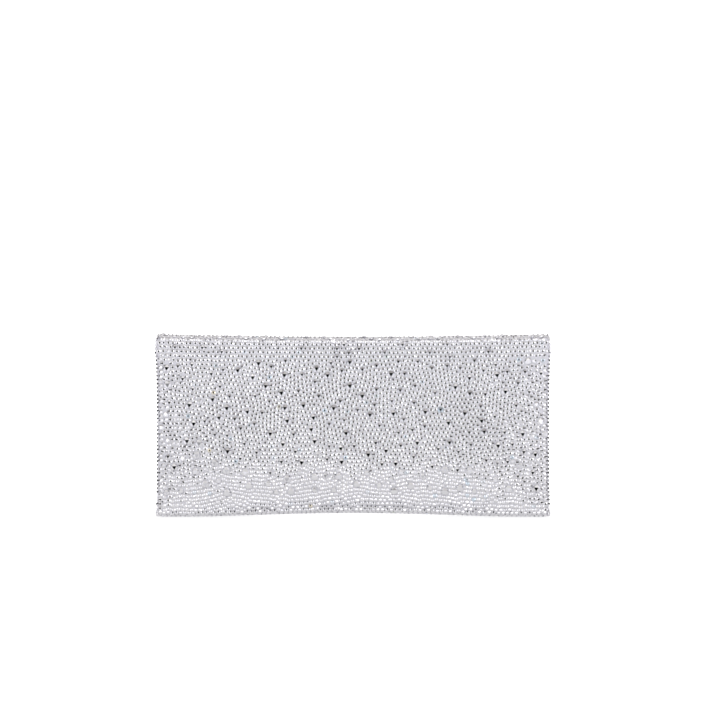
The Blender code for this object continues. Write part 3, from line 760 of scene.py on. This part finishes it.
flap_rows = {inset: (flap_lengths(inset), flap_half(inset)) for inset in (PIPING_R, FLAP_LINING_INSET)}
back_cloth = satin("back_cloth", back, back_lengths, full, CLOTH_INSET)
front_cloth = satin("front_cloth", front, front_lengths, full, CLOTH_INSET, flip=True)
flap_cloth = satin("flap_cloth", flap, *flap_rows[PIPING_R], 0.0, flip=True)
back_lining = lining("back_lining_cloth", back, back_lengths, full, LINING_INSET)
front_lining = lining("front_lining_cloth", front, front_lengths, full, LINING_INSET, flip=True)
flap_lining = lining("flap_lining_cloth", flap, *flap_rows[FLAP_LINING_INSET], 0.0, flip=True)


def mouth_path():
    """Along the top of the front wall, from side to side."""
    across = np.linspace(-1, 1, 90) * (HALF - LINING_INSET)
    level = MOUTH_Z - MOUTH_BINDING_R
    u = across / HALF
    y = front_y(u, level) - FABRIC_D - MOUTH_BINDING_R
    return np.stack([across * half_width(level) / HALF, y, settle(u, level)], -1)


mouth_binding = tube("mouth_binding_cloth", mouth_path(), MOUTH_BINDING_R + HAIR, CORD_SATIN, beat=0.0009)


def piping_path():
    """From inside the fold down one side of the flap, round its corner to mid-edge, and mirrored."""
    inset, depth = PIPING_R, WALL_T / 2
    turn = np.radians(np.linspace(50, 90, 8))[:-1]
    y, z = fold_part(turn, depth, 1)
    top = np.stack([(HALF - inset) * (1 - crest_draw(z) * 2 / WIDTH), y, z], -1)
    radius = FLAP_CORNER_R - inset
    corner = FLAP_EDGE_Z + inset + radius * (1 - np.sin(np.linspace(0, math.pi / 2, 14)))
    levels = np.concatenate([np.linspace(FOLD_Z, corner[0], 30)[:-1], corner])
    x = flap_half_width(levels, inset)
    side = np.stack([x, flap_y(x / half_width(levels), levels) - depth, levels], -1)
    x = np.linspace(x[-1], 0, 36)[1:]
    low = levels[-1]
    across = np.stack([x, flap_y(x / half_width(low), low) - depth, np.full(len(x), low)], -1)
    half = np.concatenate([top, side, across])
    whole = np.concatenate([half, (half * (-1, 1, 1))[-2::-1]])
    whole[:, 2] = settle(whole[:, 0] / half_width(whole[:, 2]), whole[:, 2])
    return whole


flap_piping = tube("flap_piping_cord", piping_path(), PIPING_R, CORD_SATIN, beat=0.0011)


# ---- Stones on each wall ---------------------------------------------------------------------------
def cover(stem, surface, rows, low, high, width, accents, seed, crest=9.0, edge=None, allowed=None):
    """Straight rows, loose packing between them, and the larger stones that stand among the small.

    crest is where along the wall the fold is highest: many of its stones are larger ones."""
    fixed = straight_rows(rows, width, seed)
    if edge is not None:
        keep = np.ones(len(fixed), bool) if allowed is None else allowed(fixed[:, 0], fixed[:, 1])
        fixed = np.concatenate([fixed[keep], edge])
    small, medium, large = settle_stones(fixed, width, low, high, accents, seed, allowed)
    rng = np.random.default_rng(seed + 1)
    share = np.where(np.abs(fixed[:, 1] - crest) < 2 * ROW, CREST_SHARE, ROW_SHARE) * (fixed[:, 1] > low)
    promoted = rng.random(len(fixed)) < share
    promoted &= ~np.roll(promoted, 1)
    riders = fixed[promoted]  # larger stones in the straight rows, which ride over their neighbours
    across, along = np.concatenate([fixed[~promoted], small]).T
    size = SMALL_R * rng.uniform(0.97, 1.03, len(across))
    name = stem + "_small_stones"
    smalls = set_stones(name, surface, across, along, size, SMALL_RISE, ROUND, seed + 2)
    across, along = np.concatenate([medium, riders, large]).T
    counts = [len(medium), len(riders), len(large)]
    size = np.repeat([MEDIUM_R, RIDER_R, LARGE_R], counts) * rng.uniform(0.93, 1.05, len(across))
    depth = FABRIC_D - np.repeat([0.0, RIDER_LIFT, 0.0], counts)
    name = stem + "_large_stones"
    bigs = set_stones(name, surface, across, along, size, size * ACCENT_RISE, STAR, seed + 3, depth)
    return [smalls, bigs]


def edge_string(name, surface, first, last, seed):
    """A string of small stones down each side edge, tipped outwards over the rounded cloth."""
    count = round((last - first) / EDGE_PITCH) + 1
    along = np.tile(np.linspace(first, last, count), 2)
    side = np.repeat([-1.0, 1.0], count)
    across = side * (HALF - EDGE_STRING)
    lean = side[:, None] * np.array([EDGE_LEAN, 0.0, 0.0])
    depth = FABRIC_D + EDGE_SEAT
    return set_stones(name, surface, across, along, EDGE_R, EDGE_RISE, BOLD, seed, depth, lean)


STONES_W = HALF - 0.0031
base_rows = [ROW * (k + 0.5) for k in range(3)]
fold_rows = [ROW * (k + 0.5) for k in range(7)]
back_rows = base_rows + [BACK_L - a for a in fold_rows]
loose_low = base_rows[-1] + LOOSE_GAP
loose_high = BACK_L - fold_rows[-1] - LOOSE_GAP
back_stones = cover("back", back, back_rows, loose_low, loose_high, STONES_W, 200, 11, crest=BACK_L)
back_edges = edge_string("back_edge_stones", back, EDGE_R, BACK_L - EDGE_R, 21)
fold_edges = edge_string("fold_edge_stones", flap, EDGE_R, FOLD_R * math.radians(38), 23)
front_edges = edge_string("front_edge_stones", front, EDGE_R, FRONT_L - 0.001, 22)

front_top = CORNER_END + CRYSTAL_TOP_Z - BASE_CORNER_R - PITCH / 2
front_rows = base_rows + [front_top]
front_stones = cover("front", front, front_rows, loose_low, front_top - LOOSE_GAP, STONES_W, 42, 31)

FLAP_STONE_INSET = 2 * PIPING_R + 0.0002 + PITCH / 2


def flap_outline_stones():
    """One row of stones just inside the piping, evenly spaced round the flap's three free edges."""
    inset = FLAP_STONE_INSET
    radius = FLAP_CORNER_R - inset
    start = fold_rows[-1] + ROW
    corner = FLAP_L - inset - radius * (1 - np.sin(np.linspace(0, math.pi / 2, 60)))
    along = np.concatenate([np.linspace(start, corner[0], 200)[:-1], corner])
    across = flap_half(inset)(along)
    straight = np.linspace(across[-1], 0, 400)[1:]
    side = np.stack([across, along], -1)
    foot = np.stack([straight, np.full(len(straight), along[-1])], -1)
    path = np.concatenate([side, foot])
    travelled = travel(path)
    count = round((travelled[-1] - PITCH / 2) / PITCH) + 1
    stops_at = np.linspace(0, travelled[-1] - PITCH / 2, count)
    half = np.stack([np.interp(stops_at, travelled, path[:, k]) for k in (0, 1)], -1)
    return np.concatenate([half, half * (-1, 1)])


def inside_flap(across, along):
    """True clear of the outline row, or up in the straight rows of the fold."""
    edge = flap_half(FLAP_STONE_INSET + 0.0024)(along)
    low = FLAP_L - FLAP_STONE_INSET - 0.0024
    return ((np.abs(across) < edge) & (along < low)) | (along < fold_rows[-1] + 0.0005)


flap_low = fold_rows[-1] + LOOSE_GAP
flap_wide = HALF - FLAP_STONE_INSET
outline = flap_outline_stones()
flap_stones = cover(
    "flap", flap, fold_rows, flap_low, FLAP_L, flap_wide, 118, 41, 0.0, outline, inside_flap
)


# ---- Sides and pockets ------------------------------------------------------------------------------
THIN = 0.0004  # a single cloth
POCKET_FOOT = 0.018
SLIP_W = 0.110
SLIP_TOP = 0.0805
CARD_W = 0.096
GUSSET_TOP = 0.1035
GUSSET_FOLD = (0.0095, 0.0100)  # how far the gusset folds inwards, at its foot and at its top
CREASE = 0.00022
TOUCH = 0.0001  # between a gusset's edge and the lining it is sewn to


def thin_cloth(name, points, uv, material, thickness, outside=0.0):
    """A single skin given its thickness by Solidify."""
    rows, columns = points.shape[:2]
    made = add_mesh(name, points, grid_faces(rows, columns).tolist(), material, uv)
    wall = made.modifiers.new("thickness", "SOLIDIFY")
    wall.thickness = thickness
    wall.offset = outside
    wall.use_even_offset = True
    return made


def gusset(name, side):
    """Half an ellipse across, folded inwards between the linings, with soft creases in a sine pattern."""
    turn, up = np.meshgrid(np.linspace(0, math.pi, 33), np.linspace(0, 1, 60))
    z = mix(WALL_T + 0.0003, GUSSET_TOP, up)
    outer = HALF - LINING_INSET + 0.0006
    u = outer / HALF
    rear = back_y(u, z) + WALL_T + TOUCH
    fore = front_y(u, z) - WALL_T - TOUCH
    crease = CREASE * np.sin(5 * turn + 3 * np.sin(7 * up)) * np.sin(turn) * np.sin(math.pi * up)
    x = outer - (mix(*GUSSET_FOLD, up) + crease) * np.sin(turn)
    y = mix(rear, fore, (1 - np.cos(turn)) / 2)
    points = np.stack([side * x * half_width(z) / HALF, y, settle(u, z)], -1)
    return thin_cloth(name, points, np.stack([turn * 0.006, z], -1), SATIN, THIN)


def on_wall(surface, width, low, high, depth, columns=40, rows=30, slack=0.0):
    """A sheet on a wall's inside; slack is how far its open edge hangs away from the wall."""
    across, level = np.meshgrid(np.linspace(-width / 2, width / 2, columns), np.linspace(low, high, rows))
    along = CORNER_END + level - BASE_CORNER_R
    loose = slack * ((level - low) / (high - low)) ** 3 * (1 - (2 * across / width) ** 2)
    return surface(across, along, depth + loose), np.stack([across, along], -1)


gussets = [gusset("gusset_cloth_left", -1), gusset("gusset_cloth_right", 1)]
slip_points, slip_uv = on_wall(back, SLIP_W, POCKET_FOOT, SLIP_TOP, WALL_T + 0.0005, slack=0.0004)
slip_pocket = thin_cloth("slip_pocket_cloth", slip_points, slip_uv, LINING, THIN)
slip_binding = tube("slip_pocket_edge", slip_points[-1], 0.0006, CORD_SATIN, sides=10, beat=0.0008)
card_pockets = []
for name, top, depth in (
    ("card_pocket_rear_cloth", 0.074, 0.0005),
    ("card_pocket_front_cloth", 0.060, 0.0012),
):
    points, uv = on_wall(front, CARD_W, POCKET_FOOT, top, WALL_T + depth, slack=0.0003)
    card_pockets.append(thin_cloth(name, points, uv, LINING, THIN))


# ---- Stitches -----------------------------------------------------------------------------------------
def stitch_shape():
    """A short rounded thread: three rings of six, twice as long as wide."""
    foot = ring(6, 0.5, 0.0) * (2.3, 1, 1)
    shoulder = ring(6, 0.42, 0.7) * (2.1, 1, 1)
    top = ring(6, 0.15, 1.0) * (2.0, 1, 1)
    ends = [list(range(12, 18)), list(range(5, -1, -1))]
    return np.concatenate([foot, shoulder, top]), band(0, 6, 6) + band(6, 12, 6) + ends


STITCH = stitch_shape()
STITCH_PITCH = 0.0024
STITCH_SIZE = (0.00070, 0.00034, 0.00018)
STITCH_SINK = 0.00002
SEAM_IN = 0.0012  # a pocket's seam runs this far inside its edge


def stitch_line(name, surface, across, along, depth):
    """Lockstitches along a line on a wall's inside, each lying along the line."""
    path = surface(across, along, np.full(len(across), depth))
    travelled = travel(path)
    count = max(3, int(travelled[-1] / STITCH_PITCH))
    at = np.linspace(0, travelled[-1], count)
    across, along = (np.interp(at, travelled, v) for v in (across, along))
    seat = surface(across, along, np.full(count, depth))
    normal, _ = facing(surface, across, along, np.full(count, depth))
    normal = -normal
    run = unit(np.gradient(seat, axis=0))
    other = np.cross(normal, run)
    shape, faces = STITCH
    length, width, height = STITCH_SIZE
    points = (
        seat[:, None]
        + run[:, None] * shape[None, :, :1] * length
        + other[:, None] * shape[None, :, 1:2] * width
        + normal[:, None] * (shape[None, :, 2:] * height - STITCH_SINK)
    )
    step = np.arange(count)[:, None, None] * len(shape)
    quads = (np.array(faces[:12])[None] + step).reshape(-1, 4).tolist()
    ends = (np.array(faces[12:])[None] + step).reshape(-1, 6).tolist()
    uv = np.stack([points[..., 0], points[..., 2]], -1)
    return add_mesh(name, points, quads + ends, THREAD, uv)


def at_level(z):
    """The length along a wall at a height on it."""
    return CORNER_END + z - BASE_CORNER_R


def pocket_path(half, low, high):
    """Down one side of a pocket, along its foot and up its other side."""
    low, high = at_level(low), at_level(high)
    across = np.concatenate([np.full(40, -half), np.linspace(-half, half, 80), np.full(40, half)])
    along = np.concatenate([np.linspace(high, low, 40), np.full(80, low), np.linspace(low, high, 40)])
    return across, along


def flap_seam_path(inset):
    """Inside the flap's three free edges, from just under the fold on one side to the other."""
    along = flap_lengths(inset)
    side = flap_half(inset)(along)
    foot = np.linspace(side[-1], -side[-1], 200)[1:-1]
    across = np.concatenate([side[12:], foot, -side[12:][::-1]])
    return across, np.concatenate([along[12:], np.full(len(foot), along[-1]), along[12:][::-1]])


seam_foot = POCKET_FOOT + SEAM_IN
slip_path = pocket_path(SLIP_W / 2 - SEAM_IN, seam_foot, 0.079)
card_path = pocket_path(CARD_W / 2 - SEAM_IN, seam_foot, 0.059)
mouth_line = (np.linspace(-0.126, 0.126, 200), np.full(200, FRONT_L - 0.0012))
slip_seam = stitch_line("slip_pocket_seam", back, *slip_path, WALL_T + 0.0007)
card_seam = stitch_line("card_pocket_seam", front, *card_path, WALL_T + 0.0014)
flap_seam = stitch_line("flap_lining_seam", flap, *flap_seam_path(0.0045), WALL_T)
mouth_seam = stitch_line("mouth_lining_seam", front, *mouth_line, WALL_T)


# ---- What each piece rides on, or its place baked in where it spans a fold, and what it stands for -----
FOLD_BACK = ((0, -0.00675, 0.11925), (0, -0.00315, 0.12285))
FOLD_FRONT = ((0, 0.00315, 0.12285), (0, 0.00675, 0.11925))
BASE_FRONT = ((0, 0.0072, 0.0016), (0, 0.0088, 0.0032))


def follow(pieces, bodies, bend=None, nodes=()):
    for piece in pieces:
        if bend:
            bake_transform(piece)
        else:
            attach(piece, bodies)
    if nodes:
        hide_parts(*nodes)


follow(back_stones, ("body", "spine"), FOLD_BACK, ("back_crystals", "spine_crystals"))
follow([back_edges], ("body", "spine"), FOLD_BACK, ("back_trim_left", "back_trim_right"))
follow([fold_edges], ("spine", "flap"), FOLD_FRONT)
follow([back_cloth], ("body", "spine"), FOLD_BACK, ("back_panel", "spine_panel"))
follow([back_lining], ("body", "spine"), FOLD_BACK, ("back_lining", "spine_lining"))
follow(flap_stones, ("spine", "flap"), FOLD_FRONT, ("flap_crystals",))
follow([flap_cloth], ("spine", "flap"), FOLD_FRONT, ("flap_panel",))
follow([flap_lining], ("spine", "flap"), FOLD_FRONT, ("flap_lining",))
follow([flap_piping], ("spine", "flap"), FOLD_FRONT, ("flap_piping",))
follow([flap_seam], ("spine", "flap"), FOLD_FRONT)
follow(front_stones, ("body", "front_wall"), BASE_FRONT, ("front_crystals",))
follow([front_edges], ("body", "front_wall"), BASE_FRONT, ("front_trim_left", "front_trim_right"))
follow([front_cloth], ("body", "front_wall"), BASE_FRONT, ("front_panel",))
follow([front_lining], ("body", "front_wall"), BASE_FRONT, ("front_lining",))
follow([mouth_binding], "front_wall", nodes=("mouth_binding",))
follow([mouth_seam, card_seam], "front_wall")
follow([slip_pocket], "body", nodes=("slip_pocket",))
follow([slip_binding], "body", nodes=("slip_pocket_binding",))
follow([slip_seam], "body")
follow(card_pockets[:1], "front_wall", nodes=("card_pocket_rear",))
follow(card_pockets[1:], "front_wall", nodes=("card_pocket_front",))
for piece, name in zip(gussets, ("gusset_left", "gusset_right")):
    follow([piece], ("body", "front_wall"), ((0, -0.0032, 0.1), (0, -0.0003, 0.1)), (name,))

for name, finish in (
    [(n, NICKEL) for n in ("snap_cup", "snap_plate", "snap_plate_washer", "snap_stud", "snap_stud_washer")]
    + [("snap_magnet", FERRITE)]
    + [(n, BOARD) for n in ("back_board", "base_board", "front_board", "flap_board")]
):
    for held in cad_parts[name].material_slots:
        held.material = finish


# ---- Studio ---------------------------------------------------------------------------------------------
# The room's walls, by how far round they are: 0 straight ahead on a side, 1 at a corner of the room.
DOORWAY = ((0.0, "060607"), (0.225, "060607"), (0.285, "CACACC"), (0.39, "CACACC"))
KEY_WALLS = (*DOORWAY, (0.43, "FFFFFF"), (0.62, "FFFFFF"), (0.66, "CACACC"))
FILL_WALLS = (*DOORWAY, (0.48, "D0D0D0"), (0.66, "CACACC"))
# What is below and above the walls, by height: 0 straight down, 1 straight up.
CEILING = (
    (0.0, "B6B6B9"),
    (0.28, "ACACAF"),
    (0.38, "A4A4A7"),
    (0.46, "A4A4A7"),
    (0.58, "C0C0C2"),
    (0.70, "9C9B9A"),
    (0.89, "9C9B9A"),
    (0.93, "B8B7B6"),
    (0.96, "888684"),
    (1.0, "5C5A58"),
)
WALL_TOP = (0.45, 0.62)  # the walls fade out between these heights of a sight line of length 1
WALL_FOOT = (-0.25, -0.10)
PANEL_RAISE = 0.18  # the panels' feet are this much higher than the doorways'
ROOM_LIGHT = 2.5
GLOW = 0.46
GLOW_SEEN = 0.78
PLINTH = (0.20, 0.10)
CAMERA_AWAY = 2.0
CAMERA_TILT = 4.0
FRAME_WIDTH = 0.4832
CAMERA_TARGET = (0.0047, 0.0, 0.1058)


def studio_floor():
    """An oval white plinth of opal acrylic, lit from below, whose edge is lost in the white behind it.

    It glows more for the eye than for the stones, which would be washed out by it."""
    made, tree, surface = finish_of("opal_acrylic", Roughness=0.9)
    surface.inputs["Emission Color"].default_value = (1.0, 1.0, 1.0, 1.0)
    seen = node(tree, "ShaderNodeLightPath")
    glow_range = {"Value": (seen, "Is Camera Ray"), "To Min": GLOW, "To Max": GLOW_SEEN}
    glow = node(tree, "ShaderNodeMapRange", glow_range)
    tree.links.new(glow.outputs["Result"], surface.inputs["Emission Strength"])
    place = node(tree, "ShaderNodeTexCoord")
    cloud = node(tree, "ShaderNodeTexNoise", {"Vector": (place, "Object"), "Scale": 400.0, "Detail": 3.0})
    grey = node(tree, "ShaderNodeValToRGB", {"Fac": (cloud, "Fac")})
    wire(tree, surface, stops(grey, (0.3, "A8A8A8"), (0.7, "B0B0B0")))
    points = ring(96, 1.0, -0.0002) * (*PLINTH, 1.0)
    floor = add_mesh("studio_floor", points, [list(range(96))], made, smooth=False)
    return floor


def studio_light(name, place, target, size, energy):
    """A soft rectangular lamp that the stones don't mirror."""
    data = bpy.data.lights.new(name, "AREA")
    data.shape = "RECTANGLE"
    data.size, data.size_y = size
    data.energy = energy
    made = bpy.data.objects.new(name, data)
    made.visible_glossy = False
    made.location = place
    made.rotation_euler = (Vector(target) - Vector(place)).to_track_quat("-Z", "Y").to_euler()
    bpy.context.scene.collection.objects.link(made)
    return made


def studio_world():
    """A pale room for the stones to mirror, the same on each of its four sides; the eye sees only white.

    Straight ahead each side has a dark doorway, which is what a stone's flat table gives back. To its left
    and right is a panel, one bright and one duller, for the sparks. Above and below, the walls fade into
    the greys of CEILING, which the rounded fold and the base give back."""
    world = bpy.data.worlds.new("studio")
    world.use_nodes = True
    bpy.context.scene.world = world
    tree = world.node_tree
    tree.nodes.clear()
    calc = lambda op, a, b=0.0: (node(tree, "ShaderNodeMath", {0: a, 1: b}, operation=op), "Value")
    place = node(tree, "ShaderNodeTexCoord")
    axes = node(tree, "ShaderNodeSeparateXYZ", {0: (place, "Generated")})
    x, y = calc("ABSOLUTE", (axes, "X")), calc("ABSOLUTE", (axes, "Y"))
    off_axis = calc("DIVIDE", calc("MINIMUM", x, y), calc("MAXIMUM", x, y))
    crossed = calc("MULTIPLY", (axes, "X"), (axes, "Y"))
    key_side = {"Value": crossed, "From Min": -0.02, "From Max": 0.02, "To Min": 1.0, "To Max": 0.0}
    side = node(tree, "ShaderNodeMapRange", key_side)
    keyed = stops(node(tree, "ShaderNodeValToRGB", {"Fac": off_axis}), *KEY_WALLS)
    filled = stops(node(tree, "ShaderNodeValToRGB", {"Fac": off_axis}), *FILL_WALLS)
    panels = {"Fac": (side, "Result"), "Color1": (filled, "Color"), "Color2": (keyed, "Color")}
    walls = node(tree, "ShaderNodeMixRGB", panels)
    level = node(tree, "ShaderNodeMapRange", {"Value": (axes, "Z"), "From Min": -1.0, "From Max": 1.0})
    ceiling = stops(node(tree, "ShaderNodeValToRGB", {"Fac": (level, "Result")}), *CEILING)
    top = {"Value": (axes, "Z"), "From Min": WALL_TOP[0], "From Max": WALL_TOP[1]}
    above = node(tree, "ShaderNodeMapRange", top, interpolation_type="SMOOTHSTEP")
    raised = {"Value": off_axis, "From Min": 0.25, "From Max": 0.40, "To Max": PANEL_RAISE}
    lift = node(tree, "ShaderNodeMapRange", raised)
    lifted = calc("SUBTRACT", (axes, "Z"), (lift, "Result"))
    foot = {"Value": lifted, "From Min": WALL_FOOT[0], "From Max": WALL_FOOT[1], "To Min": 1.0, "To Max": 0.0}
    below = node(tree, "ShaderNodeMapRange", foot, interpolation_type="SMOOTHSTEP")
    away = calc("MAXIMUM", (above, "Result"), (below, "Result"))
    room = {"Fac": away, "Color1": (walls, "Color"), "Color2": (ceiling, "Color")}
    shade = node(tree, "ShaderNodeMixRGB", room)
    seen = node(tree, "ShaderNodeLightPath")
    view = {"Fac": (seen, "Is Camera Ray"), "Color1": (shade, "Color"), "Color2": hexed("FFFFFF")}
    both = node(tree, "ShaderNodeMixRGB", view)
    light = node(tree, "ShaderNodeBackground", {"Color": (both, "Color"), "Strength": ROOM_LIGHT})
    node(tree, "ShaderNodeOutputWorld", {"Surface": (light, "Background")})


def studio_camera():
    """Level with the purse and a little above it, aimed over its middle."""
    data = bpy.data.cameras.new("camera")
    data.sensor_width = 36.0
    data.lens = 36.0 * CAMERA_AWAY / FRAME_WIDTH
    made = bpy.data.objects.new("camera", data)
    target = Vector(CAMERA_TARGET)
    tilt = math.radians(CAMERA_TILT)
    made.location = target + Vector((0.0, -math.cos(tilt), math.sin(tilt))) * CAMERA_AWAY
    made.rotation_euler = (target - made.location).to_track_quat("-Z", "Y").to_euler()
    bpy.context.scene.collection.objects.link(made)
    bpy.context.scene.camera = made


bpy.context.scene.view_settings.view_transform = "Standard"  # plain and neutral, not filmic
studio_floor()
studio_world()
studio_light("overhead", (0.0, -0.15, 1.3), (0.0, 0.0, 0.05), (1.6, 1.2), 2.5)
studio_camera()
